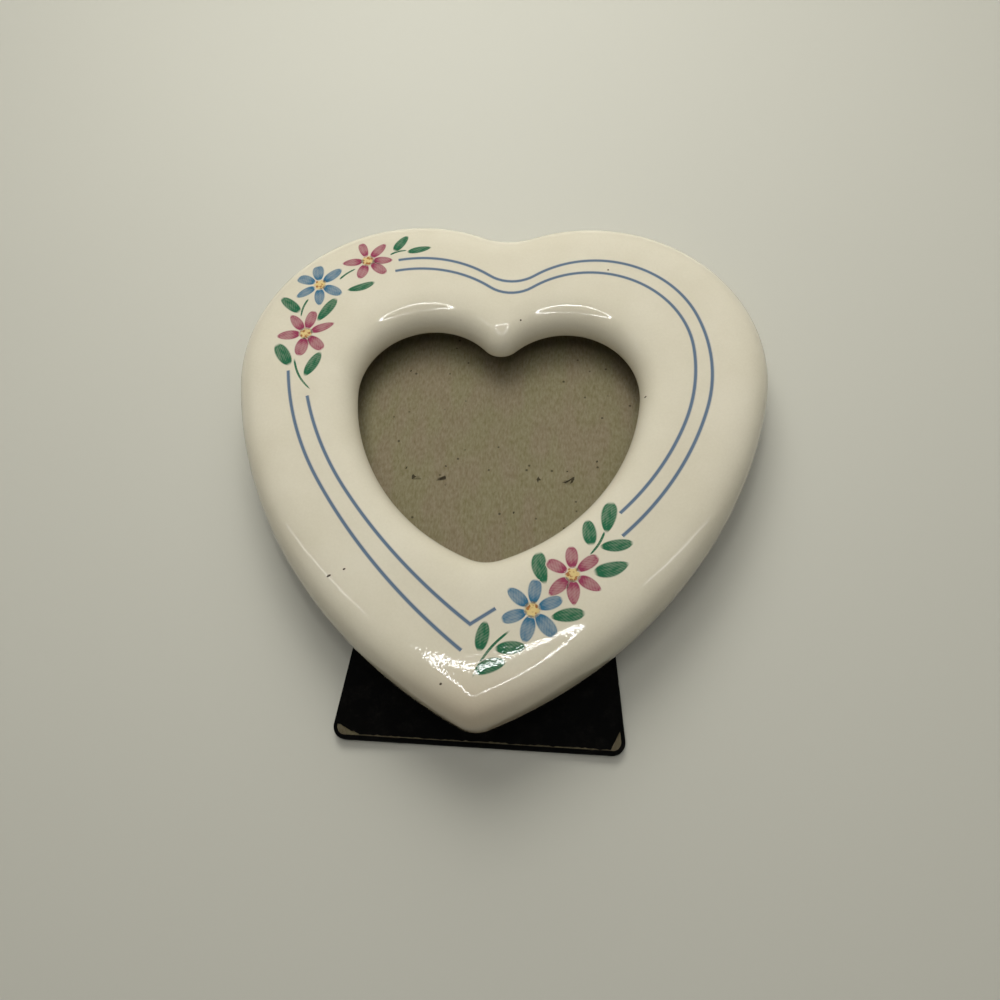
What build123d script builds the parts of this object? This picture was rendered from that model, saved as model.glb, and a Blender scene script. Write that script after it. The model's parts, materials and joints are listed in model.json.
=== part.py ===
from build123d import *
from dataclasses import dataclass
from math import asin, atan2, cos, degrees, hypot, pi, radians, sin, sqrt, tan
import os

# Heart shaped ceramic photo frame, lying on its back with its strut flat on the table.
# The frame's own axes: X to the right, Y towards the lobes with zero at the height of the
# lobes' centres, Z out of the face with zero at the ceramic's back. All sizes are in mm.

# Outer outline of the ceramic, as tangent arcs
frame_lobe_x = 21.7
frame_lobe_radius = 41.8
frame_notch_radius = 15.3
frame_flank_radius = 105.5
frame_tip_depth = 84.6
frame_tip_radius = 7.1

# Outline of the window at its narrowest
window_drop = 6.4
window_lobe_x = 16.5
window_lobe_radius = 17.8
window_notch_radius = 5.3
window_flank_radius = 48.1
window_tip_depth = 42.2
window_tip_radius = 9.7

# Section of the ceramic
ceramic_height = 12.5
face_round = 9.0
window_roll = 8.8
foot_round = 0.8
pocket_depth = 1.8
pocket_margin = 6.0
lip_round = 0.9
photo_slot_width = 74.0

# Backing board, its paper cover and the glue that holds it
board_thickness = 2.0
board_edge_inset = 5.0
paper_thickness = 0.25
glue_thickness = 0.25
glue_inset = 4.0
glue_width = 4.5
glue_top_y = -4.0

# Hinge
hinge_width = 40.0
hinge_leaf_thickness = 0.5
hinge_leaf_depth = 9.5
hinge_pin_radius = 0.75
hinge_pin_overhang = 0.3
hinge_knuckle_length = 14.0
hinge_knuckle_gap = 0.3
hinge_running_clearance = 0.05
hinge_pin_seat_clearance = 0.01
hinge_corner_radius = 2.0
hinge_leaf_set = 0.2
stop_width = 8.0
stop_reach = 3.6
stop_clearance = 0.08
strut_open_angle = 35.0

# Staples
staple_span = 6.35
staple_wire = 0.5
staple_end_inset = 5.0
staple_setback = 5.3
staple_clinch = 1.3
staple_tip_cover = 0.15
staple_hole_clearance = 0.15
staple_row_y = -26.7

# Strut
strut_board_thickness = 2.4
strut_lining_thickness = 0.2
strut_foot_half_width = 31.7
strut_flare = 7.0
strut_end_y = -86.8
strut_head_gap = 0.4
strut_foot_radius = 2.8
strut_head_radius = 1.5
lining_foot_inset = 1.2
lining_side_inset = 0.3
lining_corner_cut = 4.5

# How far a cutting shape runs past what it cuts, and the steps of a quarter round
overrun = 1.0
round_steps = 5


@dataclass
class Heart:
    """A heart of tangent arcs: notch, lobes, flanks and tip, alike left and right."""

    lobe_x: float
    lobe_radius: float
    notch_radius: float
    flank_radius: float
    tip_depth: float
    tip_radius: float
    drop: float = 0


frame_heart = Heart(
    frame_lobe_x,
    frame_lobe_radius,
    frame_notch_radius,
    frame_flank_radius,
    frame_tip_depth,
    frame_tip_radius,
)
window_heart = Heart(
    window_lobe_x,
    window_lobe_radius,
    window_notch_radius,
    window_flank_radius,
    window_tip_depth,
    window_tip_radius,
    window_drop,
)

# Heights in the frame's own axes
board_front = -glue_thickness
board_back = board_front - board_thickness
cover_back = board_back - paper_thickness
lip_height = pocket_depth + lip_round
roll_height = ceramic_height - window_roll
wall_height = ceramic_height - face_round

# Each staple keeps the same distance from its end of the hinge leaf
staple_spacing = hinge_width - 2 * staple_end_inset

# The hinge pin behind the board, and how far the frame leans back on the table:
# the board's upper edge and the strut's back both touch the table.
barrel_radius = hinge_pin_radius + hinge_running_clearance + hinge_leaf_thickness
pin_y = staple_row_y - staple_setback
pin_z = cover_back - barrel_radius
strut_thickness = paper_thickness + strut_board_thickness + strut_lining_thickness
strut_seat = strut_thickness - hinge_leaf_set
board_top_y = frame_lobe_radius - board_edge_inset
board_reach = board_top_y - pin_y
lean = asin(strut_seat / hypot(board_reach, barrel_radius)) + atan2(barrel_radius, board_reach)
table_rise = board_top_y * sin(lean) - cover_back * cos(lean)

# The pin's place on the table, and the box's middle, which becomes the origin
pin_table_y = pin_y * cos(lean) + pin_z * sin(lean)
end_table_y = strut_end_y * cos(lean) + (strut_seat - table_rise) * sin(lean)
strut_reach = pin_table_y - end_table_y
lobe_table_y = (frame_lobe_radius - face_round) * cos(lean) + wall_height * sin(lean) + face_round
middle_y = (lobe_table_y + end_table_y) / 2
frame_rest = Pos(Y=-middle_y, Z=table_rise) * Rot(X=-degrees(lean))
strut_rest = Pos(Y=pin_table_y - middle_y, Z=strut_seat)


def drawn_in(radius, inset):
    """An arc's radius after an offset; a tight arc softens instead of coming to a point."""
    if inset <= 0:
        return radius - inset
    return radius * radius / (radius + inset)


def flank_centre(heart):
    """Centre of the right flank's arc, tangent inside to the lobe's and the tip's."""
    lobe = Vector(heart.lobe_x, 0)
    tip = Vector(0, heart.tip_radius - heart.tip_depth)
    lobe_reach = heart.flank_radius - heart.lobe_radius
    tip_reach = heart.flank_radius - heart.tip_radius
    span = tip - lobe
    along = (lobe_reach**2 - tip_reach**2 + span.length**2) / (2 * span.length)
    aside = sqrt(lobe_reach**2 - along**2)
    unit = span.normalized()
    return lobe + unit * along + Vector(unit.Y, -unit.X) * aside


def mirrored(point):
    return Vector(-point.X, point.Y)


def arc_between(centre, start, end):
    """The shorter arc about a centre from one point to another."""
    middle = (start - centre).normalized() + (end - centre).normalized()
    radius = (start - centre).length
    return ThreePointArc(start, centre + middle.normalized() * radius, end)


def heart_face(heart, inset, height):
    """The heart drawn in by an inset, or out where it is negative, at a height."""
    lobe = Vector(heart.lobe_x, 0)
    flank = flank_centre(heart)
    lobe_radius = heart.lobe_radius - inset
    flank_radius = heart.flank_radius - inset
    notch_radius = drawn_in(heart.notch_radius, -inset)
    tip_radius = drawn_in(heart.tip_radius, inset)
    notch = Vector(0, sqrt((notch_radius + lobe_radius) ** 2 - lobe.X**2))
    tip = Vector(0, flank.Y - sqrt((flank_radius - tip_radius) ** 2 - flank.X**2))
    notch_end = notch + (lobe - notch).normalized() * notch_radius
    lobe_end = flank + (lobe - flank).normalized() * flank_radius
    tip_end = flank + (tip - flank).normalized() * flank_radius
    edges = [
        ThreePointArc(mirrored(notch_end), notch - Vector(0, notch_radius), notch_end),
        arc_between(lobe, notch_end, lobe_end),
        arc_between(flank, lobe_end, tip_end),
        ThreePointArc(tip_end, tip - Vector(0, tip_radius), mirrored(tip_end)),
        arc_between(mirrored(flank), mirrored(tip_end), mirrored(lobe_end)),
        arc_between(mirrored(lobe), mirrored(lobe_end), mirrored(notch_end)),
    ]
    return Pos(Y=-heart.drop, Z=height) * Face(Wire(edges))


def slab(face, height, top):
    """A flat face at a height, thickened up to another height."""
    return Solid.extrude(face, Vector(0, 0, top - height))


def heart_slab(heart, inset, height, top):
    return slab(heart_face(heart, inset, height), height, top)


def quarter_round(heart, start, rise, inset):
    """From upright at the start height to flat after the rise, drawn in by the inset."""
    turns = [pi / 2 * step / round_steps for step in range(round_steps + 1)]
    faces = [heart_face(heart, inset * (1 - cos(turn)), start + rise * sin(turn)) for turn in turns]
    return loft(faces)


def bar(x_ends, y_ends, z_ends):
    """A block between two ends along each axis."""
    low = [min(ends) for ends in (x_ends, y_ends, z_ends)]
    high = [max(ends) for ends in (x_ends, y_ends, z_ends)]
    size = [top - bottom for top, bottom in zip(high, low)]
    return Pos(*low) * Box(*size, align=(Align.MIN, Align.MIN, Align.MIN))


def rod(radius, start, end):
    """A round bar along X on the hinge's axis."""
    return Pos(X=(start + end) / 2) * Rot(Y=90) * Cylinder(radius, end - start)


def ceramic_frame():
    """Glazed ring: rounded rim, flat face, deep roll into the window, photo pocket behind."""
    body = heart_slab(frame_heart, 0, foot_round, wall_height)
    body += quarter_round(frame_heart, wall_height, face_round, face_round)
    body += quarter_round(frame_heart, foot_round, -foot_round, foot_round)
    body -= heart_slab(window_heart, 0, lip_height, roll_height)
    body -= quarter_round(window_heart, roll_height, window_roll, -window_roll)
    body -= quarter_round(window_heart, lip_height, -lip_round, -lip_round)
    body -= heart_slab(window_heart, -pocket_margin, -overrun, pocket_depth)
    slot_end = frame_lobe_radius + overrun
    half = photo_slot_width / 2
    body -= bar((-half, half), (-window_drop, slot_end), (-overrun, pocket_depth))
    return body


def board_glue():
    """A bead of glue down both flanks and round the tip, open at the top for the photo."""
    inset = board_edge_inset + glue_inset
    bead = heart_slab(frame_heart, inset, board_front, 0)
    bead -= heart_slab(frame_heart, inset + glue_width, board_front, 0)
    width = frame_lobe_x + frame_lobe_radius
    bead -= bar((-width, width), (glue_top_y, frame_lobe_radius), (board_front, 0))
    return bead


def staple(crown_face, tip):
    """A staple with its crown on one face and both legs clinched inwards near a tip height."""
    way = 1 if tip > crown_face else -1
    half_wire = staple_wire / 2
    half_span = staple_span / 2
    wire = (-half_wire, half_wire)
    shape = bar((-half_span, half_span), wire, (crown_face - way * staple_wire, crown_face))
    for side in (-1, 1):
        outside = side * half_span
        shape += bar((outside, outside - side * staple_wire), wire, (crown_face, tip))
        shape += bar((outside, outside - side * staple_clinch), wire, (tip - way * staple_wire, tip))
    return shape


def staple_row(y, crown_face, tip):
    half = staple_spacing / 2
    return [Pos(X=side * half, Y=y) * staple(crown_face, tip) for side in (-1, 1)]


def staple_holes(y, low, high):
    """Clearance holes for the legs of a row of staples."""
    reach = staple_wire / 2 + staple_hole_clearance
    leg = staple_span / 2 - staple_wire / 2
    holes = []
    for side in (-1, 1):
        for foot in (-1, 1):
            x = side * staple_spacing / 2 + foot * leg
            holes.append(bar((x - reach, x + reach), (y - reach, y + reach), (low, high)))
    return holes


def backing_board(staples):
    """Bare grey chipboard behind the window."""
    board = heart_slab(frame_heart, board_edge_inset + paper_thickness, board_back, board_front)
    return board - staples


def backing_cover(staples):
    """Black paper over the board's back, turned up round its edge."""
    cover = heart_slab(frame_heart, board_edge_inset, cover_back, board_front)
    cover -= heart_slab(frame_heart, board_edge_inset + paper_thickness, board_back, board_front)
    return cover - staples


def rounded_plate(x_half, y_ends, z_ends, radius):
    """A leaf's plate with its two far corners rounded."""
    plate = bar((-x_half, x_half), y_ends, z_ends)
    far = max(y_ends, key=abs)
    corners = [edge for edge in plate.edges().filter_by(Axis.Z) if abs(edge.center().Y - far) < radius]
    return fillet(corners, radius)


def knuckle(start, end):
    return rod(barrel_radius, start, end)


def hinge_back_leaf():
    """The leaf that lies on the board, with the two outer knuckles, about the pin's axis."""
    half = hinge_width / 2
    middle = hinge_knuckle_length / 2 + hinge_knuckle_gap
    top = barrel_radius
    under = top - hinge_leaf_thickness
    leaf = rounded_plate(half, (0, hinge_leaf_depth), (under, top), hinge_corner_radius)
    notch_depth = barrel_radius + hinge_knuckle_gap
    leaf -= bar((-middle, middle), (-overrun, notch_depth), (under - overrun, top + overrun))
    leaf += knuckle(middle, half)
    leaf += knuckle(-half, -middle)
    leaf -= rod(hinge_pin_radius + hinge_pin_seat_clearance, -half - overrun, half + overrun)
    leaf -= staple_holes(staple_setback, under - overrun, top + overrun)
    return leaf


def hinge_strut_leaf():
    """The leaf on the strut, with the middle knuckle and the tongue that stops the strut."""
    half = hinge_width / 2
    middle = hinge_knuckle_length / 2
    under = hinge_leaf_set
    top = under + hinge_leaf_thickness
    plate_end = -barrel_radius - hinge_knuckle_gap
    leaf = rounded_plate(half, (-hinge_leaf_depth, 0), (under, top), hinge_corner_radius)
    leaf -= bar((-half - overrun, half + overrun), (plate_end, overrun), (under - overrun, top + overrun))
    leaf += bar((-middle, middle), (plate_end, 0), (under, top))
    leaf += knuckle(-middle, middle)
    tongue_top = barrel_radius - hinge_leaf_thickness - stop_clearance
    tongue_ends = (tongue_top - hinge_leaf_thickness, tongue_top)
    tongue = bar((-stop_width / 2, stop_width / 2), (0, stop_reach), tongue_ends)
    leaf += Rot(X=-strut_open_angle) * tongue
    bore = hinge_pin_radius + hinge_running_clearance
    leaf -= rod(bore, -middle - overrun, middle + overrun)
    leaf -= staple_holes(-staple_setback, under - overrun, top + overrun)
    return leaf


def hinge_pin():
    half = hinge_width / 2 + hinge_pin_overhang
    return rod(hinge_pin_radius, -half, half)


# The strut is drawn about the pin's axis, with its back a seat's height below it
strut_head = -barrel_radius - strut_head_gap
strut_back = -strut_seat
strut_board_back = strut_back + paper_thickness
strut_board_front = strut_board_back + strut_board_thickness
strut_front = strut_board_front + strut_lining_thickness


def strut_half_width(y):
    return strut_foot_half_width - (y + strut_reach) * tan(radians(strut_flare))


def strut_outline(side_inset, foot_inset, height):
    """The strut's flared outline, drawn in by its insets, with square corners."""
    head = strut_head - side_inset
    foot = -strut_reach + foot_inset
    shift = side_inset / cos(radians(strut_flare))
    wide = strut_half_width(foot) - shift
    narrow = strut_half_width(head) - shift
    corners = [(-wide, foot), (wide, foot), (narrow, head), (-narrow, head)]
    return Pos(Z=height) * Face(Wire.make_polygon([Vector(*corner) for corner in corners]))


def strut_slab(side_inset, foot_inset, low, high):
    """The strut's outline thickened, with its upright corners rounded."""
    block = slab(strut_outline(side_inset, foot_inset, low), low, high)
    upright = block.edges().filter_by(Axis.Z)
    feet = [edge for edge in upright if edge.center().Y < (strut_head - strut_reach) / 2]
    block = fillet(feet, strut_foot_radius - side_inset)
    upright = block.edges().filter_by(Axis.Z)
    heads = [edge for edge in upright if edge.center().Y > strut_head - strut_head_radius]
    return fillet(heads, strut_head_radius)


def strut_board(staples):
    board = strut_slab(paper_thickness, paper_thickness, strut_board_back, strut_board_front)
    return board - staples


def strut_cover():
    """Black paper over the strut's back, turned up round its edges."""
    cover = strut_slab(0, 0, strut_back, strut_board_front)
    return cover - strut_slab(paper_thickness, paper_thickness, strut_board_back, strut_board_front)


def strut_lining(staples):
    """Black paper on the strut's front; it stops short of the foot and of its corners."""
    outline = strut_outline(lining_side_inset, lining_foot_inset, strut_board_front)
    lining = slab(outline, strut_board_front, strut_front)
    upright = lining.edges().filter_by(Axis.Z)
    feet = [edge for edge in upright if edge.center().Y < (strut_head - strut_reach) / 2]
    return chamfer(feet, lining_corner_cut) - staples


def save(node, place, shape):
    """Write one node, put where it rests."""
    pieces = shape if isinstance(shape, list) else [shape]
    solids = [solid for piece in pieces for solid in (place * piece).solids()]
    export_step(Compound(solids), "parts/" + node + ".step")


def main():
    os.makedirs("parts", exist_ok=True)
    hinge_rest = frame_rest * Pos(Y=pin_y, Z=pin_z)
    leaf_back = cover_back - hinge_leaf_thickness
    board_staples = staple_row(staple_row_y, leaf_back, board_front - staple_tip_cover)
    leaf_front = strut_front + hinge_leaf_thickness
    strut_tip = strut_board_back + staple_tip_cover
    strut_staples = staple_row(-staple_setback, leaf_front, strut_tip)

    save("ceramic_frame", frame_rest, ceramic_frame())
    save("board_glue", frame_rest, board_glue())
    save("backing_board", frame_rest, backing_board(board_staples))
    save("backing_cover", frame_rest, backing_cover(board_staples))
    save("board_staples", frame_rest, board_staples)
    save("hinge_back_leaf", hinge_rest, hinge_back_leaf())
    save("hinge_pin", hinge_rest, hinge_pin())
    save("hinge_strut_leaf", strut_rest, hinge_strut_leaf())
    save("strut_staples", strut_rest, strut_staples)
    save("strut_board", strut_rest, strut_board(strut_staples))
    save("strut_cover", strut_rest, strut_cover())
    save("strut_lining", strut_rest, strut_lining(strut_staples))

    print("lean", round(degrees(lean), 3))
    print("table rise", round(table_rise, 3), "middle y", round(middle_y, 3))
    print("pin at", round(pin_table_y - middle_y, 3), round(strut_seat, 3))


main()
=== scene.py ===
import json
from math import asin, atan2, cos, hypot, pi, radians, remainder, sin, sqrt, tan

import bmesh
import bpy
from bpy.props import FloatProperty, FloatVectorProperty, PointerProperty
from mathutils import Matrix, Vector, noise
from mathutils.bvhtree import BVHTree


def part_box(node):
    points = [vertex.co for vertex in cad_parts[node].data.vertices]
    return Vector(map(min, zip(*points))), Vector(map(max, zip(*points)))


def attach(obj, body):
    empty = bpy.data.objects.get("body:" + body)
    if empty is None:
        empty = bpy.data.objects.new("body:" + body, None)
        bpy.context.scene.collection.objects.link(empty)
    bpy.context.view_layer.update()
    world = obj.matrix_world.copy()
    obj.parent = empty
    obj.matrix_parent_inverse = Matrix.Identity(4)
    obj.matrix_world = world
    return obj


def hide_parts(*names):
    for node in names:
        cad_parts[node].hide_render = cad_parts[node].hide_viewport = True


bl_info = {
    "name": "Heart Photo Frame",
    "version": (1, 0, 0),
    "blender": (4, 5, 0),
    "location": "3D View > Sidebar > Photo Frame",
    "description": "Dresses the packed heart photo frame: glaze, print, board, strut and hinge",
    "category": "Add Mesh",
}

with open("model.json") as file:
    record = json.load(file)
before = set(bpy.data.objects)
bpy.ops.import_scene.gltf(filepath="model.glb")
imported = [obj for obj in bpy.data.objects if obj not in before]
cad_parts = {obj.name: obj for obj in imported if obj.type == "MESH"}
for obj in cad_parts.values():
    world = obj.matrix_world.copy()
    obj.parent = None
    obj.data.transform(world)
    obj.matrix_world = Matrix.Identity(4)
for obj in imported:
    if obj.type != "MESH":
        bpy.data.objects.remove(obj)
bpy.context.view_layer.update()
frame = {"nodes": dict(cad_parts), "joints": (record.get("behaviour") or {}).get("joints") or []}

mm = 0.001


def colour(code):
    """An sRGB hex colour as the linear values that Blender takes."""
    shares = [int(code[place : place + 2], 16) / 255 for place in (1, 3, 5)]
    return [share / 12.92 if share <= 0.04045 else ((share + 0.055) / 1.055) ** 2.4 for share in shares]


# Places: the frame leans back on the table about the hinge pin's axis, the strut lies flat.
# Both are drawn in their own axes, in mm: the frame's start between the lobes' centres at the
# back of the ceramic, the strut's on the pin.
hinge_axis = Vector(frame["joints"][0]["pos_m"])
pin_y = -32.0
pin_z = -3.8
barrel_radius = 1.3
board_reach = 68.8
lean = asin(hinge_axis.z / mm / hypot(board_reach, barrel_radius)) + atan2(barrel_radius, board_reach)
turned_back = Matrix.Rotation(-lean, 4, "X")
on_pin = Matrix.Translation(hinge_axis)
millimetres = Matrix.Scale(mm, 4)
frame_place = on_pin @ turned_back @ millimetres @ Matrix.Translation((0, -pin_y, -pin_z))
strut_place = on_pin @ millimetres
face_up = turned_back.to_3x3() @ Vector((0, 0, 1))


# Settings

def colour_setting(name, description, code):
    return FloatVectorProperty(
        name=name, description=description, subtype="COLOR", size=3, min=0, max=1, default=colour(code)
    )


class GlazeSettings(bpy.types.PropertyGroup):
    """Colours of the ceramic."""

    ivory: colour_setting("Ivory", "Colour of the glazed ceramic", "#D4CCB3")
    bisque: colour_setting("Bisque", "Colour of the bare fired clay at the back", "#D9CFBC")


class PrintSettings(bpy.types.PropertyGroup):
    """Inks of the print, and the width of its lines."""

    pink: colour_setting("Pink", "Ink of the pink petals", "#903F55")
    blue: colour_setting("Blue", "Ink of the blue petals", "#3B6A84")
    green: colour_setting("Green", "Ink of the leaves and stems", "#2C6446")
    stripe: colour_setting("Stripe", "Ink of the two lines", "#566B80")
    line_width: FloatProperty(
        name="Line width", description="Width of each printed line", subtype="DISTANCE", unit="LENGTH",
        min=0.0004, max=0.003, default=0.00115,
    )


class CardSettings(bpy.types.PropertyGroup):
    """Colours of the board and of the paper on it."""

    chipboard: colour_setting("Chipboard", "Colour of the bare board", "#7A7052")
    paper: colour_setting("Paper", "Colour of the black paper", "#040403")


class StageSettings(bpy.types.PropertyGroup):
    """Floor and lamps."""

    floor: colour_setting("Floor", "Colour of the floor", "#C4C2B3")
    sky: FloatProperty(
        name="Sky", description="Strength of the light from all round", min=0, max=2, default=0.16,
    )
    softbox: FloatProperty(
        name="Softbox", description="Power of the near soft lamp", subtype="POWER", unit="POWER",
        min=0, max=100, default=0.75,
    )
    ring: FloatProperty(
        name="Ring lamp", description="Strength of the lamp that the glaze mirrors",
        min=0, max=100, default=25,
    )


# Outlines

class Arc:
    """Part of a circle: centre, radius, start direction and sweep, both in radians."""

    def __init__(self, centre, radius, start, sweep):
        self.centre = centre
        self.radius = radius
        self.start = start
        self.sweep = sweep

    def towards(self, share):
        angle = self.start + self.sweep * share
        return Vector((cos(angle), sin(angle)))

    def point(self, share, out=0.0):
        return self.centre + self.towards(share) * (self.radius + out)

    def distance(self, point):
        """A point's distance from the arc, or a very long one where it lies beyond the arc's ends."""
        offset = point - self.centre
        share = remainder(bearing(offset) - self.start, 2 * pi) / self.sweep
        return abs(offset.length - self.radius) if -0.1 < share < 1.1 else 1000.0


def drawn_in(radius, inset, pace):
    """An arc's radius after an offset; a tight arc softens at a pace instead of coming to a point."""
    if inset <= 0:
        return radius - inset
    return radius * radius / (radius + inset * pace)


def bearing(offset):
    return atan2(offset.y, offset.x)


class Heart:
    """A heart of tangent arcs, alike left and right, in mm; drop moves it towards the tip."""

    def __init__(
        self, lobe_x, lobe_radius, notch_radius, flank_radius, tip_depth, tip_radius, drop=0.0, pace=1.0
    ):
        self.lobe = Vector((lobe_x, 0))
        self.lobe_radius = lobe_radius
        self.notch_radius = notch_radius
        self.flank_radius = flank_radius
        self.tip_radius = tip_radius
        self.drop = Vector((0, -drop))
        self.pace = pace
        lobe_reach = flank_radius - lobe_radius
        tip_reach = flank_radius - tip_radius
        span = Vector((0, tip_radius - tip_depth)) - self.lobe
        along = (lobe_reach**2 - tip_reach**2 + span.length_squared) / (2 * span.length)
        aside = sqrt(lobe_reach**2 - along**2)
        unit = span.normalized()
        self.flank = self.lobe + unit * along + Vector((unit.y, -unit.x)) * aside

    def half(self, inset=0.0):
        """The right half's arcs, drawn in by an inset, from the notch down to the tip."""
        lobe_radius = self.lobe_radius - inset
        flank_radius = self.flank_radius - inset
        notch_radius = drawn_in(self.notch_radius, -inset, self.pace)
        tip_radius = drawn_in(self.tip_radius, inset, self.pace)
        notch = Vector((0, sqrt((notch_radius + lobe_radius) ** 2 - self.lobe.x**2)))
        tip = Vector((0, self.flank.y - sqrt((flank_radius - tip_radius) ** 2 - self.flank.x**2)))
        turns = [
            (notch, notch_radius, -pi / 2, bearing(self.lobe - notch)),
            (self.lobe, lobe_radius, bearing(notch - self.lobe), bearing(self.lobe - self.flank)),
            (self.flank, flank_radius, bearing(self.lobe - self.flank), bearing(tip - self.flank)),
            (tip, tip_radius, bearing(tip - self.flank), -pi / 2),
        ]
        return [Arc(c + self.drop, r, start, remainder(end - start, 2 * pi)) for c, r, start, end in turns]


def walk(start, heading, turns):
    """Arcs that follow one another from a start and a heading: radius in mm, turn in degrees."""
    place = Vector(start)
    heading = radians(heading)
    arcs = []
    for radius, turn in turns:
        side = 1 if turn > 0 else -1
        centre = place + Vector((-sin(heading), cos(heading))) * radius * side
        arcs.append(Arc(centre, radius, heading - side * pi / 2, radians(turn)))
        place = arcs[-1].point(1)
        heading += radians(turn)
    return arcs


frame_heart = Heart(
    lobe_x=21.68, lobe_radius=41.73, notch_radius=15.3, flank_radius=105.45, tip_depth=84.55, tip_radius=7.1
)
pocket_heart = Heart(
    lobe_x=16.5, lobe_radius=17.8, notch_radius=5.3, flank_radius=48.1, tip_depth=42.2, tip_radius=9.7, drop=6.4
)
window_heart = Heart(
    lobe_x=16.1, lobe_radius=17.35, notch_radius=5.2, flank_radius=46.9, tip_depth=42.35, tip_radius=9.46,
    drop=7.65, pace=0.3,
)

# Sizes of the ceramic, in mm: the board lies behind it, and the photo's pocket is cut in its back.
board_front = -0.25
pocket_depth = 1.8
pocket_margin = 6.0
pocket_half_width = 37.0
back_rounding = 0.8
face_height = 12.49
rim_reach = 10.5
rim_depth = 9.0
rim_squareness = 2.8
# The roll into the window: a gentle arc off the face, a tight one, and the lip under it.
run_out_radius = 18
run_out = radians(16)
roll_radius = 6.6
lip_slope = radians(80)
lip_radius = 0.7
run_out_reach = run_out_radius * sin(run_out)
roll_reach = run_out_reach + roll_radius * (sin(lip_slope) - sin(run_out))


# Mesh helpers

def rim_fall(distance):
    """How far the rim has fallen at a distance from its outer edge: a squared-off quarter round."""
    share = min(max(1 - distance / rim_reach, 0), 1)
    return rim_depth * (1 - (1 - share**rim_squareness) ** (1 / rim_squareness))


def roll_fall(distance):
    """How far the roll has fallen at a distance from the window."""
    inwards = max(roll_reach - distance, 0)
    if inwards < run_out_reach:
        return run_out_radius - sqrt(run_out_radius**2 - inwards**2)
    across = inwards - run_out_reach + roll_radius * sin(run_out)
    level = run_out_radius * (1 - cos(run_out)) + roll_radius * cos(run_out)
    return level - sqrt(max(roll_radius**2 - across**2, 0))


def rim_section():
    """Inset and height up the outer rounding, closer together where it turns."""
    places = [rim_reach * (1 - cos(pi / 2 * step / 15)) ** 1.6 for step in range(16)]
    return [(place, face_height - rim_fall(place)) for place in places]


def roll_section():
    """Distance from the window and height, from the face down to the lip and round it."""
    places = [roll_reach - run_out_radius * sin(run_out * step / 6) for step in range(6)]
    for step in range(19):
        slope = run_out + (lip_slope - run_out) * step / 18
        places.append(roll_reach - run_out_reach - roll_radius * (sin(slope) - sin(run_out)))
    section = [(place, face_height - roll_fall(place)) for place in places]
    centre = (lip_radius * sin(lip_slope), section[-1][1] - lip_radius * cos(lip_slope))
    for step in range(1, 7):
        slope = lip_slope + radians(11) * step
        section.append((centre[0] - lip_radius * sin(slope), centre[1] + lip_radius * cos(slope)))
    return section


def new_edges(bm, before):
    return [edge for edge in bm.edges if edge not in before]


def of_kind(geom, kind):
    """The vertices, or the edges, among what an operator made."""
    return [part for part in geom if isinstance(part, kind)]


def vertices(geom):
    return of_kind(geom, bmesh.types.BMVert)


def spin_arcs(bm, geom, arcs, height, steps):
    """Spins vertices and edges along arcs, one after another, and returns the last ones."""
    for arc, count in zip(arcs, steps):
        centre = (arc.centre.x, arc.centre.y, height)
        made = bmesh.ops.spin(bm, geom=geom, cent=centre, axis=(0, 0, 1), angle=arc.sweep, steps=count)
        geom = made["geom_last"]
    return geom


# Steps round the notch, the lobe, the flank and the tip, and how near points in mm are merged.
ring_steps = (14, 56, 48, 16)
seam = 1e-4


def half_ring(bm, heart, inset, height):
    """An open chain of edges round the heart's right half."""
    before = set(bm.edges)
    arcs = heart.half(inset)
    seed = bm.verts.new((*arcs[0].point(0), height))
    spin_arcs(bm, [seed], arcs, height, ring_steps)
    return new_edges(bm, before)


def bridged(bm, rings):
    for ring, following in zip(rings, rings[1:]):
        bmesh.ops.bridge_loops(bm, edges=ring + following)


def both_halves(bm):
    """Adds the left half, closes the seam and points the faces outwards."""
    geom = bm.verts[:] + bm.edges[:] + bm.faces[:]
    bmesh.ops.mirror(bm, geom=geom, axis="X", merge_dist=seam)
    bmesh.ops.remove_doubles(bm, verts=bm.verts[:], dist=seam)
    bmesh.ops.recalc_face_normals(bm, faces=bm.faces[:])


def thickened(bm, thickness):
    """Gives flat faces a thickness, upwards, and points the faces outwards."""
    made = bmesh.ops.extrude_face_region(bm, geom=bm.faces[:])
    bmesh.ops.translate(bm, verts=vertices(made["geom"]), vec=(0, 0, thickness))
    bmesh.ops.recalc_face_normals(bm, faces=bm.faces[:])


def finished(bm, name, place, material, body, sharp=40):
    """Turns a bmesh into a piece that rides on a body and takes the given material."""
    bm.transform(place)
    mesh = bpy.data.meshes.new(name)
    bm.to_mesh(mesh)
    bm.free()
    for polygon in mesh.polygons:
        polygon.use_smooth = True
    mesh.set_sharp_from_angle(angle=radians(sharp))
    materials = material if isinstance(material, list) else [material]
    for each in materials:
        mesh.materials.append(each)
    piece = bpy.data.objects.new(name, mesh)
    bpy.context.scene.collection.objects.link(piece)
    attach(piece, body)
    return piece


def node_finish(name, material):
    """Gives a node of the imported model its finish."""
    piece = frame["nodes"][name]
    piece.data.materials.clear()
    piece.data.materials.append(material)


# Materials

smooth = {"interpolation_type": "SMOOTHSTEP"}
coloured = {"data_type": "RGBA"}


def add(tree, kind, inputs=(), **settings):
    """Adds a shader node with its settings. Each input, in order or by name, is a value, a socket
    or a node, which is linked from its first live output."""
    made = tree.nodes.new("ShaderNode" + kind)
    for name, value in settings.items():
        setattr(made, name, value)
    for key, value in inputs.items() if isinstance(inputs, dict) else enumerate(inputs):
        if isinstance(value, bpy.types.Node):
            value = next(socket for socket in value.outputs if socket.enabled)
        if isinstance(value, bpy.types.NodeSocket):
            tree.links.new(value, made.inputs[key])
        else:
            made.inputs[key].default_value = value
    return made


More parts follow.
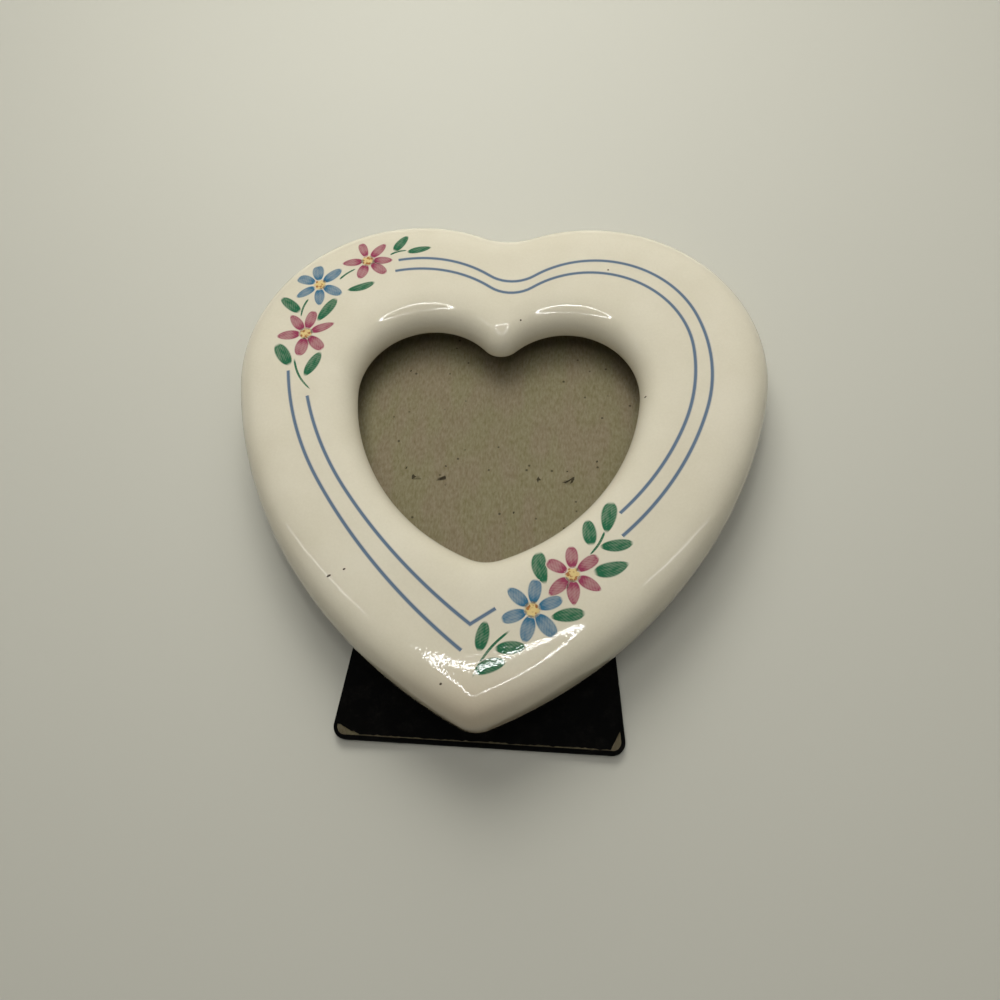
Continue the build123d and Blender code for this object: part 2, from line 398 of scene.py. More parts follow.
def new_material(name):
    """An empty material, its nodes and the object's own coordinates to draw by."""
    material = bpy.data.materials.new(name)
    material.use_nodes = True
    tree = material.node_tree
    tree.nodes.clear()
    return material, tree, add(tree, "TexCoord").outputs["Object"]


def every(size):
    """How often a pattern of a size in mm repeats in a metre, as a whole number."""
    return round(1 / (size * mm))


def opaque(tint):
    return (*tint, 1)


def darker(tint, share):
    return [value * (1 - share) for value in tint]


def height_up(tree, place):
    """A point's Y, which runs up the heart from its middle, in metres."""
    return add(tree, "SeparateXYZ", (place,)).outputs["Y"]


def ivory_body(tree, place):
    """The ivory seen through clear glaze: a faint cloudiness, a fine fleck, and painted shade towards the tip.
    """
    tint = bpy.context.scene.frame_glaze.ivory
    # Clouds about 15 mm across; the fleck is drawn at 0.5 mm, coarser than the real one.
    cloud = add(tree, "TexNoise", {"Vector": place, "Scale": every(15.4), "Detail": 3, "Roughness": 0.5})
    fleck = add(tree, "TexNoise", {"Vector": place, "Scale": every(0.5), "Detail": 1})
    mixed = add(tree, "Math", (fleck, 0.35, cloud), operation="MULTIPLY_ADD")
    share = add(tree, "MapRange", (mixed, 0.45, 0.9))
    pale = opaque([value + (1 - value) * 0.06 for value in tint])
    blend = add(tree, "Mix", {0: share, 6: opaque(darker(tint, 0.05)), 7: pale}, **coloured)
    # Painted shade: towards the tip the ivory turns darker and pinker, standing in for the shade that falls on
    # the tip.
    wear_and_tip_shade = add(tree, "MapRange", (height_up(tree, place), -0.066, -0.046, 0.85, 0), **smooth)
    # The painted shade's colour: the ivory darkened and made pinker.
    clay = opaque([tint[0] * 0.82, tint[1] * 0.72, tint[2] * 0.66])
    return add(tree, "Mix", {0: wear_and_tip_shade, 6: blend, 7: clay}, **coloured)


def glaze_over(tree, place, body):
    """Clear poured glaze over a body colour: a wet gloss with orange peel and fine ripples."""
    # The peel is about 4 mm across; the ripples, 0.5 mm, break up the lamp's edges.
    peel = add(tree, "TexNoise", {"Vector": place, "Scale": every(4.35), "Detail": 1, "Roughness": 0.4})
    ripple = add(tree, "TexNoise", {"Vector": place, "Scale": every(0.5), "Detail": 0})
    # The glaze is rougher at the tip, where it ran last.
    rough = add(tree, "MapRange", (height_up(tree, place), -0.05, -0.034, 0.5, 0.2), **smooth)
    height = add(tree, "Math", (ripple, rough, peel), operation="MULTIPLY_ADD")
    bump = add(tree, "Bump", {"Height": height, "Strength": 1, "Distance": 0.02 * mm})
    gloss = {"Base Color": body, "Roughness": 0.035, "IOR": 1.5, "Normal": bump}
    add(tree, "OutputMaterial", (add(tree, "BsdfPrincipled", gloss),))


def glaze_material():
    """Ivory earthenware under clear glaze, cast and dipped: pale, wet looking, softly uneven."""
    material, tree, place = new_material("glazed_earthenware")
    glaze_over(tree, place, ivory_body(tree, place))
    return material


def bisque_material(settings):
    """Fired clay wiped free of glaze: chalky, dull, slightly gritty."""
    material, tree, place = new_material("bare_earthenware")
    # Grit of 0.4 mm, with stains about 10 mm across.
    grit = add(tree, "TexNoise", {"Vector": place, "Scale": every(0.4), "Detail": 2})
    stain = add(tree, "TexNoise", {"Vector": place, "Scale": every(10), "Detail": 3})
    dirty = opaque(darker(settings.bisque, 0.22))
    blend = add(tree, "Mix", {0: stain, 6: opaque(settings.bisque), 7: dirty}, **coloured)
    bump = add(tree, "Bump", {"Height": grit, "Strength": 0.6, "Distance": 0.08 * mm})
    shader = add(tree, "BsdfPrincipled", {"Base Color": blend, "Roughness": 0.85, "Normal": bump})
    add(tree, "OutputMaterial", (shader,))
    return material


def ink_material(name, ink, base_share, hatch_share, density, crisp=0.74):
    """Ceramic print under the glaze: dark where the brush landed, paler on, ruled with fine lines."""
    material, tree, place = new_material(name)
    body = ivory_body(tree, place)
    along, across, reach, rim = (
        add(tree, "Attribute", attribute_name=mark).outputs["Fac"] for mark in mark_names
    )
    # The marks are in mm. Streaks run the blade's length, about 0.8 mm apart; the print's own
    # lines are 0.5 mm apart and cross the blade.
    slow = add(tree, "Math", (along, 0.25), operation="MULTIPLY")
    streak_place = add(tree, "CombineXYZ", (slow, across))
    streak = add(tree, "TexNoise", {"Vector": streak_place, "Scale": 1.3, "Detail": 2})
    ruled_place = add(tree, "CombineXYZ", (along, across))
    ruling = {"Vector": ruled_place, "Scale": 0.85, "Distortion": 1.2, "Detail": 1}
    lines = add(tree, "TexWave", ruling, bands_direction="DIAGONAL").outputs["Fac"]
    at_base = add(tree, "MapRange", (reach, 0, 0.5, base_share, 0), **smooth)
    outline = add(tree, "MapRange", (rim, 0.6, 0.88, 0, base_share * 0.6), **smooth)
    streaked = add(tree, "Math", (streak, 0.5, density - 0.25), operation="MULTIPLY_ADD")
    ruled = add(tree, "Math", (lines, hatch_share, streaked), operation="MULTIPLY_ADD")
    based = add(tree, "Math", (ruled, at_base), operation="ADD")
    strong = add(tree, "Math", (based, outline), operation="ADD")
    full = add(tree, "Math", (strong, 1), operation="MINIMUM")
    fade = add(tree, "MapRange", (rim, crisp, 1, 1, 0), **smooth)
    amount = add(tree, "Math", (full, fade), operation="MULTIPLY", use_clamp=True)
    glaze_over(tree, place, add(tree, "Mix", {0: amount, 6: body, 7: opaque(ink)}, **coloured))
    return material


def pollen_material():
    """The flowers' printed centres: pale yellow with orange dots, under the same glaze."""
    material, tree, place = new_material("ceramic_print_yellow")
    body = ivory_body(tree, place)
    rim = add(tree, "Attribute", attribute_name="rim").outputs["Fac"]
    # Dots of 0.45 mm about 0.8 mm apart, and only outside the middle.
    dots = add(tree, "TexVoronoi", {"Vector": place, "Scale": every(0.8), "Randomness": 0.8})
    dot = add(tree, "MapRange", (dots, 0.4, 0.55, 1, 0))
    outside = add(tree, "MapRange", (rim, 0.15, 0.4))
    dotted = add(tree, "Math", (dot, outside), operation="MULTIPLY")
    yellow = opaque(colour("#D6BC78"))
    orange = opaque(colour("#9C5A16"))
    centre = add(tree, "Mix", {0: dotted, 6: yellow, 7: orange}, **coloured)
    fade = add(tree, "MapRange", (rim, 0.7, 1, 0.9, 0), **smooth)
    glaze_over(tree, place, add(tree, "Mix", {0: fade, 6: body, 7: centre}, **coloured))
    return material


def speck_material():
    """Iron specks in the clay that burnt dark in the kiln, under the glaze."""
    material, tree, place = new_material("iron_speck")
    grain = add(tree, "TexNoise", {"Vector": place, "Scale": every(0.25)})
    burnt = {0: grain, 6: opaque(colour("#2A211A")), 7: opaque(colour("#5A4A3A"))}
    glaze_over(tree, place, add(tree, "Mix", burnt, **coloured))
    return material


def chipboard_material(settings, name="pressed_chipboard", lightness=1.0):
    """Grey chipboard, pressed from waste paper: dull, felted, mottled, with dark and pale bits."""
    material, tree, place = new_material(name)
    red, green, blue = settings.chipboard
    # Stains 5 mm wide, a little warmer than the olive, drawn out along the sheet's grain.
    grain_way = add(tree, "Mapping", {"Vector": place, "Scale": (1, 0.35, 1)})
    stain = add(tree, "TexNoise", {"Vector": grain_way, "Scale": every(5), "Detail": 2, "Roughness": 0.4})
    stained = add(tree, "MapRange", (stain, 0.4, 0.6))
    olive = (red * 0.98, green * 1.015, blue * 0.96, 1)
    warm = (red * 1.02, green * 0.985, blue * 1.04, 1)
    toned = add(tree, "Mix", {0: stained, 6: olive, 7: warm}, **coloured)
    # Felting of 0.4 mm, light and dark.
    felt = add(tree, "TexNoise", {"Vector": grain_way, "Scale": every(0.4348), "Detail": 2, "Roughness": 0.6})
    light = add(tree, "MapRange", (felt, 0.3, 0.7))
    dark_olive = add(tree, "Mix", {0: 0.84, 6: opaque(colour("#000000")), 7: toned}, **coloured)
    pale_olive = add(tree, "Mix", {0: 0.045, 6: toned, 7: opaque(colour("#FFFFFF"))}, **coloured)
    felted = add(tree, "Mix", {0: light, 6: dark_olive, 7: pale_olive}, **coloured)
    # Short fibres, 2 mm by 0.3 mm, and sparse dark bits of 0.4 mm, 4 mm apart.
    fibre_size = (every(1 / 3), every(2), every(2))
    stretched = add(tree, "Mapping", {"Vector": place, "Rotation": (0, 0, 0.1), "Scale": fibre_size})
    fibre = add(tree, "TexNoise", {"Vector": stretched, "Scale": 1, "Detail": 2})
    thin = add(tree, "MapRange", (fibre, 0.64, 0.78, 0, 0.3))
    fibred = add(tree, "Mix", {0: thin, 6: felted, 7: opaque(darker(settings.chipboard, 0.5))}, **coloured)
    bits = add(tree, "TexVoronoi", {"Vector": place, "Scale": every(3.85)})
    bit = add(tree, "MapRange", (bits, 0.05, 0.1, 0.75, 0))
    black = opaque(colour("#2E281C"))
    spotted = add(tree, "Mix", {0: bit, 6: fibred, 7: black}, **coloured)
    # Mixed towards black by lightness, 1 keeping the colour: the strut's board is drawn darker, and the
    # openings over the staples nearly black as painted shade.
    darkened = add(tree, "Mix", {0: lightness, 6: black, 7: spotted}, **coloured)
    bump = add(tree, "Bump", {"Height": felt, "Strength": 0.7, "Distance": 0.1 * mm})
    dull = {"Base Color": darkened, "Roughness": 0.95, "Specular IOR Level": 0.2, "Normal": bump}
    add(tree, "OutputMaterial", (add(tree, "BsdfPrincipled", dull),))
    return material


def paper_material(settings):
    """Black bookbinding paper, embossed with a fine grain: low sheen, with pale scuffs and dust."""
    material, tree, place = new_material("embossed_black_paper")
    # Embossed cells of 0.6 mm; scuffs 4 mm wide follow the cells' tops; dust lies 8 mm apart.
    embossing = {"Vector": place, "Scale": every(0.5882), "Randomness": 0.9}
    cells = add(tree, "TexVoronoi", embossing, feature="SMOOTH_F1")
    rub = add(tree, "TexNoise", {"Vector": place, "Scale": every(3.85), "Detail": 4, "Roughness": 0.65})
    rubbed = add(tree, "MapRange", (rub, 0.5, 0.75, 0, 0.45))
    dust = add(tree, "TexVoronoi", {"Vector": place, "Scale": every(8.33)})
    speck = add(tree, "MapRange", (dust, 0.02, 0.04, 0.5, 0))
    tops = add(tree, "Math", (cells, rubbed), operation="MULTIPLY")
    wear_and_tip_shade = opaque(colour("#2C2924"))
    dusty = opaque(colour("#6E695E"))
    scuffed = add(tree, "Mix", {0: tops, 6: opaque(settings.paper), 7: wear_and_tip_shade}, **coloured)
    flecked = add(tree, "Mix", {0: speck, 6: scuffed, 7: dusty}, **coloured)
    bump = add(tree, "Bump", {"Height": cells, "Strength": 0.6, "Distance": 0.08 * mm})
    sheen = {"Base Color": flecked, "Roughness": 0.8, "Specular IOR Level": 0.08, "Normal": bump}
    add(tree, "OutputMaterial", (add(tree, "BsdfPrincipled", sheen),))
    return material


def metal_material(name, tint, roughness, grain):
    """Thin metal, nickel plated or zinc dipped: a dull mirror with fine drawing lines."""
    material, tree, place = new_material(name)
    drawn = add(tree, "Mapping", {"Vector": place, "Scale": grain})
    lines = add(tree, "TexNoise", {"Vector": drawn, "Scale": 1, "Detail": 3})
    # Dull clouds about 5.5 mm across.
    cloud = add(tree, "TexNoise", {"Vector": place, "Scale": every(5.55), "Detail": 3})
    blend = add(tree, "Mix", {0: cloud, 6: opaque(tint), 7: opaque(darker(tint, 0.35))}, **coloured)
    rough = add(tree, "MapRange", (cloud, 0, 1, roughness - 0.1, roughness + 0.15))
    bump = add(tree, "Bump", {"Height": lines, "Strength": 0.4, "Distance": 0.02 * mm})
    plate = {"Base Color": blend, "Metallic": 1, "Roughness": rough, "Normal": bump}
    add(tree, "OutputMaterial", (add(tree, "BsdfPrincipled", plate),))
    return material


def glue_material():
    """Hot melt glue: waxy, amber, slightly see-through, with a soft shine and clouds of 4 mm."""
    material, tree, place = new_material("hot_melt_adhesive")
    cloud = add(tree, "TexNoise", {"Vector": place, "Scale": every(4), "Detail": 2})
    ambers = {0: cloud, 6: opaque(colour("#D8C792")), 7: opaque(colour("#BFA868"))}
    blend = add(tree, "Mix", ambers, **coloured)
    waxy = {"Base Color": blend, "Roughness": 0.35, "Subsurface Weight": 0.2, "Subsurface Scale": 1 * mm}
    add(tree, "OutputMaterial", (add(tree, "BsdfPrincipled", waxy),))
    return material


def shared(name, build, *facts):
    """A material that several pieces use, built once."""
    return bpy.data.materials.get(name) or build(*facts)


# Pieces

class CeramicHeart(bpy.types.Operator):
    """Build the glazed ceramic heart with its rolled window and the pocket behind it."""

    bl_idname = "photo_frame.ceramic"
    bl_label = "Ceramic heart"

    def execute(self, context):
        settings = context.scene.frame_glaze
        bm = bmesh.new()
        rings = [half_ring(bm, pocket_heart, -margin, 0) for margin in (pocket_margin, 9.5, 14.0)]
        for step in range(5):
            turn = pi / 2 * step / 4
            inset = back_rounding * (1 - sin(turn))
            rings.append(half_ring(bm, frame_heart, inset, back_rounding * (1 - cos(turn))))
        rings.append(half_ring(bm, frame_heart, 0, 2.0))
        for inset, height in rim_section():
            rings.append(half_ring(bm, frame_heart, inset, height))
        outer_face = rings[-1]
        roll = roll_section()
        inner_face = half_ring(bm, window_heart, -roll[0][0], roll[0][1])
        rings.append(inner_face)
        for inset, height in roll[1:]:
            rings.append(half_ring(bm, window_heart, -inset, height))
        rings.append(half_ring(bm, pocket_heart, -pocket_margin, pocket_depth))
        rings.append(rings[0])
        bridged(bm, rings)
        self.fill_face(bm, outer_face, inner_face)
        both_halves(bm)
        self.open_slot(bm)
        for face in bm.faces:
            face.material_index = int(face.calc_center_median().z < 0.05)
        materials = [
            shared("glazed_earthenware", glaze_material),
            shared("bare_earthenware", bisque_material, settings),
        ]
        piece = finished(bm, "ceramic_heart", frame_place, materials, "frame")
        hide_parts("ceramic_frame")
        return {"FINISHED"}

    def fill_face(self, bm, outer_face, inner_face):
        """Divides the face across its width; its middle goes on falling gently to the window."""
        outer = {vert for edge in outer_face for vert in edge.verts}
        inner = {vert for edge in inner_face for vert in edge.verts}
        across = [edge for vert in outer for edge in vert.link_edges if edge.other_vert(vert) in inner]
        made = bmesh.ops.subdivide_edges(bm, edges=across, cuts=9, use_grid_fill=True)
        window_arcs = window_heart.half(-roll_reach)
        frame_arcs = frame_heart.half(rim_reach)
        for vert in vertices(made["geom_inner"]):
            spot = Vector((abs(vert.co.x), vert.co.y))
            from_window = roll_reach + min(arc.distance(spot) for arc in window_arcs)
            from_rim = rim_reach + min(arc.distance(spot) for arc in frame_arcs)
            vert.co.z = face_height - roll_fall(from_window) - rim_fall(from_rim)

    def open_slot(self, bm):
        """Opens the pocket at the top, so that a photo slides in behind the window."""
        step = 0.05
        for side in (-1, 1):
            for place in (pocket_half_width, pocket_half_width - step):
                low = [face for face in bm.faces if face.calc_center_median().z < pocket_depth + 0.1]
                geom = low + list({edge for face in low for edge in face.edges})
                geom += list({vert for face in low for vert in face.verts})
                bmesh.ops.bisect_plane(
                    bm, geom=geom, dist=1e-5, plane_co=(side * place, 0, 0), plane_no=(1, 0, 0)
                )
        for vert in bm.verts:
            if abs(vert.co.x) < pocket_half_width - 0.02 and vert.co.y > pocket_heart.drop.y:
                vert.co.z = max(vert.co.z, pocket_depth)
        bmesh.ops.remove_doubles(bm, verts=bm.verts[:], dist=seam)


def ceramic_surface():
    """The finished ceramic as a tree to press prints on."""
    piece = bpy.data.objects.get("ceramic_heart")
    if piece is None:
        raise RuntimeError("build the ceramic heart before its print")
    corners = [vert.co for vert in piece.data.vertices]
    return BVHTree.FromPolygons(corners, [polygon.vertices for polygon in piece.data.polygons])


def pressed(bm, surface):
    """Lays a flat drawing on the ceramic, a hair proud of it, facing out."""
    above = face_up * (30 * mm)
    lift = 0.02 * mm
    bm.transform(frame_place)
    for vert in bm.verts:
        spot, normal = surface.ray_cast(vert.co + above, -face_up)[:2]
        if spot is None:
            raise RuntimeError("a print falls off the ceramic")
        vert.co = spot + normal * lift
    bmesh.ops.recalc_face_normals(bm, faces=bm.faces[:])
    if sum(face.normal.dot(face_up) for face in bm.faces) < 0:
        bmesh.ops.reverse_faces(bm, faces=bm.faces[:])


# What the inks read from each vertex: mm along and across, share of the reach, nearness to the rim.
mark_names = ("along", "across", "reach", "rim")


def marks(bm):
    return [bm.verts.layers.float.new(name) for name in mark_names]


def ribbon(bm, layers, arcs, width, leg=None):
    """A line of even width along arcs, and on to a last point where it turns a sharp corner."""
    along, across, reach, rim = layers
    first = arcs[0]
    cuts = 4
    cross = []
    for step in range(cuts + 1):
        share = 2 * step / cuts - 1
        vert = bm.verts.new((*first.point(0, share * width / 2), 0))
        vert[across] = share
        vert[reach] = 1
        vert[rim] = abs(share)
        cross.append(vert)
    edges = [bm.edges.new(pair) for pair in zip(cross, cross[1:])]
    stride = 1.2
    steps = [max(2, round(arc.radius * abs(arc.sweep) / stride)) for arc in arcs]
    last = spin_arcs(bm, cross + edges, arcs, 0, steps)
    if leg is None:
        return
    end = sorted(vertices(last), key=lambda vert: vert[across])
    centre = end[cuts // 2].co.copy()
    side = (end[-1].co - centre).normalized()
    onward = (Vector((*leg, 0)) - centre).normalized()
    turned = Vector((onward.y, -onward.x, 0))
    if turned.dot(side) < 0:
        turned = -turned
    mitre = (side + turned) / (1 + side.dot(turned))
    for vert in end:
        vert.co = centre + mitre * (vert[across] * width / 2)
    made = bmesh.ops.extrude_edge_only(bm, edges=of_kind(last, bmesh.types.BMEdge))
    for vert in vertices(made["geom"]):
        vert.co = Vector((*leg, 0)) + turned * (vert[across] * width / 2)


def blade(bm, layers, base, tip, width, round_base, round_tip, bend=0.0):
    """A petal, leaf or stem between two points; each end is rounder the lower its number is."""
    along, across, reach, rim = layers
    start = Vector((*base, 0))
    ahead = Vector((*tip, 0)) - start
    length = ahead.length
    ahead /= length
    side = Vector((-ahead.y, ahead.x, 0))
    widest = round_base / (round_base + round_tip)
    fullest = widest**round_base * (1 - widest) ** round_tip
    made = bmesh.ops.create_grid(bm, x_segments=16, y_segments=6, size=1)
    for vert in made["verts"]:
        share = (1 - cos(pi * (vert.co.x + 1) / 2)) / 2
        sideways = vert.co.y
        spread = max(share, 0) ** round_base * max(1 - share, 0) ** round_tip / fullest
        vert[along] = share * length
        vert[across] = sideways * spread * width / 2
        vert[reach] = share
        vert[rim] = max(abs(sideways), abs(2 * share - 1))
        bow = bend * sin(pi * share)
        vert.co = start + ahead * (length * share) + side * (sideways * spread * width / 2 + bow)
    bmesh.ops.remove_doubles(bm, verts=made["verts"], dist=seam)


def printed(bm, name, material):
    """Presses a print on the ceramic and finishes it."""
    pressed(bm, ceramic_surface())
    return finished(bm, name, Matrix.Identity(4), material, "frame", 60)


# Each line: name, start, heading in degrees, then radius and turn of each arc, and the last
# corner's far end where it has one.
stripes = [
    (
        "stripe_outer_right", (-26.9, 26.94), 13.4,
        ((29.1, -48.2), (9.4, 71.5), (25.5, -105.0), (38.9, -37.8), (71.7, -29.6)), None,
    ),
    ("stripe_outer_left", (-49.15, -6.6), -79.2, ((74.3, 23.4), (145.1, 19.9)), None),
    (
        "stripe_inner_right", (-27.3, 23.5), 14.3,
        ((29.1, -49.8), (8.7, 72.8), (23.8, -122.0), (44.5, -26.4), (64.7, -23.3)), None,
    ),
    ("stripe_inner_left", (-43.45, -13.3), -71.8, ((77.7, 19.3), (137.9, 17.3)), (3.5, -61.6)),
]


class PinStripes(bpy.types.Operator):
    """Print the two blue lines that follow the heart."""

    bl_idname = "photo_frame.stripes"
    bl_label = "Pin stripes"

    def execute(self, context):
        settings = context.scene.frame_print
        width = settings.line_width / mm
        ink = ink_material("ceramic_print_stripe", settings.stripe, 0.0, 0.1, 0.95, 0.3)
        for name, start, heading, turns, leg in stripes:
            bm = bmesh.new()
            ribbon(bm, marks(bm), walk(start, heading, turns), width, leg)
            printed(bm, name, ink)
        return {"FINISHED"}


# Each flower: name, ink, centre, then each petal's direction in degrees, length, width and how
# pointed its tip is.
flowers = [
    ("pink_top", "pink", (-34.7, 26.6), (
        (114, 6.5, 2.5, 0.45), (55, 6.9, 2.7, 0.7), (3, 6.5, 2.6, 0.75),
        (-37, 6.6, 2.9, 0.55), (-103, 6.0, 3.1, 0.65), (-170, 6.6, 2.6, 0.8),
    )),
    ("blue_top", "blue", (-45.8, 18.8), (
        (104, 6.4, 3.3, 0.4), (46, 7.1, 3.0, 0.65), (-25, 6.8, 3.1, 0.6),
        (-81, 6.6, 2.9, 0.75), (-142, 6.7, 2.6, 0.7), (158, 6.7, 3.2, 0.45),
    )),
    ("pink_side", "pink", (-46.8, 4.1), (
        (82, 6.9, 3.0, 0.5), (26, 7.5, 2.6, 0.85), (-43, 6.8, 3.2, 0.5),
        (-95, 6.7, 3.5, 0.55), (-171, 7.2, 3.0, 0.75), (131, 7.1, 2.8, 0.75),
    )),
    ("pink_low", "pink", (18.7, -53.7), (
        (94, 6.4, 3.0, 0.55), (39, 6.7, 2.9, 0.45), (-28, 6.8, 2.9, 0.8),
        (-86, 6.7, 3.1, 0.85), (-135, 6.7, 3.0, 0.75), (154, 6.1, 3.0, 0.45),
    )),
    ("blue_low", "blue", (10.9, -61.5), (
        (86, 6.6, 3.1, 0.45), (23, 6.6, 3.0, 0.55), (-47, 7.1, 3.5, 0.5),
        (-101, 7.0, 3.3, 0.65), (-158, 6.7, 3.0, 0.5), (141, 6.8, 3.0, 0.65),
    )),
]

# How far from a flower's middle its petals start, and its dotted centre's radius.
petal_start = 1.1
centre_radius = 1.75

# Each leaf: its base, its tip, its width, how pointed each end is and how far it bows to the left.
leaves = [
    ((-28.4, 29.7), (-25.4, 35.2), 2.7, 0.5, 0.65, 0.0),
    ((-25.2, 29.5), (-18.8, 31.3), 2.2, 0.7, 0.85, 0.0),
    ((-38.8, 17.2), (-31.8, 20.0), 2.4, 0.85, 0.75, -0.35),
    ((-49.2, 10.2), (-55.0, 14.9), 3.0, 0.5, 0.6, 0.0),
    ((-44.6, 7.6), (-40.8, 14.9), 3.0, 0.75, 0.6, 0.0),
    ((-49.0, -5.2), (-53.4, 0.9), 3.6, 0.55, 0.5, 0.0),
    ((-45.1, -8.2), (-42.2, -0.9), 3.1, 0.75, 0.75, 0.0),
    ((25.4, -44.5), (26.5, -36.6), 3.7, 0.75, 0.5, 0.0),
    ((22.4, -47.4), (21.5, -40.8), 3.3, 0.5, 0.6, 0.0),
    ((24.0, -47.5), (31.2, -46.2), 3.0, 0.75, 0.7, -0.2),
    ((22.8, -53.2), (30.3, -50.7), 3.6, 0.6, 0.8, -0.3),
    ((13.3, -56.2), (11.5, -48.5), 3.6, 0.7, 0.5, 0.5),
    ((14.4, -62.9), (21.6, -61.6), 3.2, 0.8, 0.65, 0.0),
    ((0.8, -70.6), (1.7, -64.1), 3.1, 0.6, 0.65, 0.0),
    ((3.7, -69.8), (10.2, -68.9), 3.0, 0.7, 0.75, 0.0),
    ((0.0, -74.7), (6.4, -72.0), 3.2, 0.7, 0.75, 0.3),
]

# Each stem: its two ends and how far it bows to the left.
stem_width = 0.6
stems = [
    ((-29.4, 28.5), (-25.0, 30.1), 0.4),
    ((-41.1, 20.4), (-37.3, 24.0), 0.3),
    ((-47.8, 14.5), (-48.8, 8.8), -0.4),
    ((-48.4, -3.0), (-42.8, -11.8), -0.9),
    ((25.2, -43.8), (22.0, -49.5), 0.4),
    ((6.8, -65.8), (-0.2, -75.8), -0.9),
]


class Flowers(bpy.types.Operator):
    """Print the five flowers, each with six petals and a dotted centre."""

    bl_idname = "photo_frame.flowers"
    bl_label = "Flowers"

    def execute(self, context):
        settings = context.scene.frame_print
        inks = {
            "pink": ink_material("ceramic_print_pink", settings.pink, 0.4, 0.08, 0.72),
            "blue": ink_material("ceramic_print_blue", settings.blue, 0.3, 0.06, 0.74),
        }
        pollen = pollen_material()
        for name, ink, centre, petals in flowers:
            bm = bmesh.new()
            layers = marks(bm)
            middle = Vector(centre)
            for degrees, length, width, point in petals:
                way = Vector((cos(radians(degrees)), sin(radians(degrees))))
                blade(bm, layers, middle + way * petal_start, middle + way * length, width, 0.6, point)
            printed(bm, "petals_" + name, inks[ink])
            bm = bmesh.new()
            layers = marks(bm)
            made = bmesh.ops.create_circle(
                bm, cap_ends=True, cap_tris=True, segments=24, radius=centre_radius
            )
            for vert in made["verts"]:
                vert[layers[3]] = vert.co.length / centre_radius
            bmesh.ops.translate(bm, verts=made["verts"], vec=(*centre, 0))
            printed(bm, "centre_" + name, pollen)
        return {"FINISHED"}


class LeavesAndStems(bpy.types.Operator):
    """Print the green leaves and the stems between the flowers."""

    bl_idname = "photo_frame.leaves"
    bl_label = "Leaves and stems"

    def execute(self, context):
        settings = context.scene.frame_print
        ink = ink_material("ceramic_print_green", settings.green, 0.2, 0.1, 0.85)
        bm = bmesh.new()
        layers = marks(bm)
        for base, tip, width, round_base, round_tip, bend in leaves:
            blade(bm, layers, base, tip, width, round_base, round_tip, bend)
        printed(bm, "printed_leaves", ink)
        bm = bmesh.new()
        layers = marks(bm)
        for base, tip, bend in stems:
            blade(bm, layers, base, tip, stem_width, 0.15, 0.3, bend)
        printed(bm, "printed_stems", ink)
        return {"FINISHED"}


# Each iron speck: its middle, length and width.
specks = [
    ((25.4, 24.9), 0.45, 0.40),
    ((4.7, 10.1), 0.45, 0.40),
    ((34.4, -9.0), 0.45, 0.40),
    ((-31.6, -56.3), 1.0, 0.45),
    ((-28.5, -54.8), 0.6, 0.40),
    ((-6.2, -77.0), 0.55, 0.45),
]


class GlazeSpecks(bpy.types.Operator):
    """Scatter the few dark iron specks that show in the glaze."""

    bl_idname = "photo_frame.specks"
    bl_label = "Glaze specks"

    def execute(self, context):
        bm = bmesh.new()
        layers = marks(bm)
        for centre, length, width in specks:
            half = Vector((length / 2 * 0.9, length / 2 * 0.45))
            blade(bm, layers, Vector(centre) - half, Vector(centre) + half, width, 0.5, 0.5)
        printed(bm, "glaze_specks", speck_material())
        return {"FINISHED"}


# Where the staples' ends broke through the board, seen from the front, in the frame's mm: the outline of each
# opening, which is drawn as a nearly black patch, painted shade of the hole, then each flap's two base corners,
# its tip and the tip's height.
openings = [
    (
        (-19.4, -27.7), (-19.5, -26.8), (-19.2, -26.3), (-18.7, -26.8), (-18.0, -27.0),
        (-17.2, -27.4), (-18.8, -27.5),
    ),
    (
        (-13.6, -27.7), (-13.1, -27.35), (-12.5, -27.3), (-11.6, -26.55), (-11.3, -26.7),
        (-11.3, -27.4), (-12.6, -27.7),
    ),
    (
        (10.1, -26.6), (10.3, -26.1), (10.5, -25.8), (10.7, -26.2), (11.2, -26.7), (10.6, -26.8),
        (10.4, -27.4),
    ),
    (
        (16.1, -27.1), (16.7, -26.9), (18.1, -26.1), (18.4, -25.7), (18.9, -25.5), (18.9, -26.2),
        (18.6, -26.9), (17.9, -27.4), (16.9, -27.3),
    ),
]
flaps = [
    ((-13.2, -27.2), (-11.5, -26.3), (-12.1, -27.0), 0.35),
    ((-19.0, -27.6), (-17.2, -27.5), (-18.0, -26.9), 0.3),
    ((10.2, -25.9), (10.6, -25.6), (10.2, -26.4), 0.25),
    ((16.9, -27.4), (17.9, -27.5), (18.2, -26.5), 0.3),
    ((16.5, -26.7), (18.2, -25.9), (17.5, -26.6), 0.25),
    ((-11.5, -28.6), (-11.0, -28.5), (-11.2, -29.0), 0.2),
]
# How far above the board each layer lies, in mm, so that none shares a plane.
mark_lift = 0.02
opening_lift = 0.03
flap_lift = 0.04
flap_thickness = 0.12

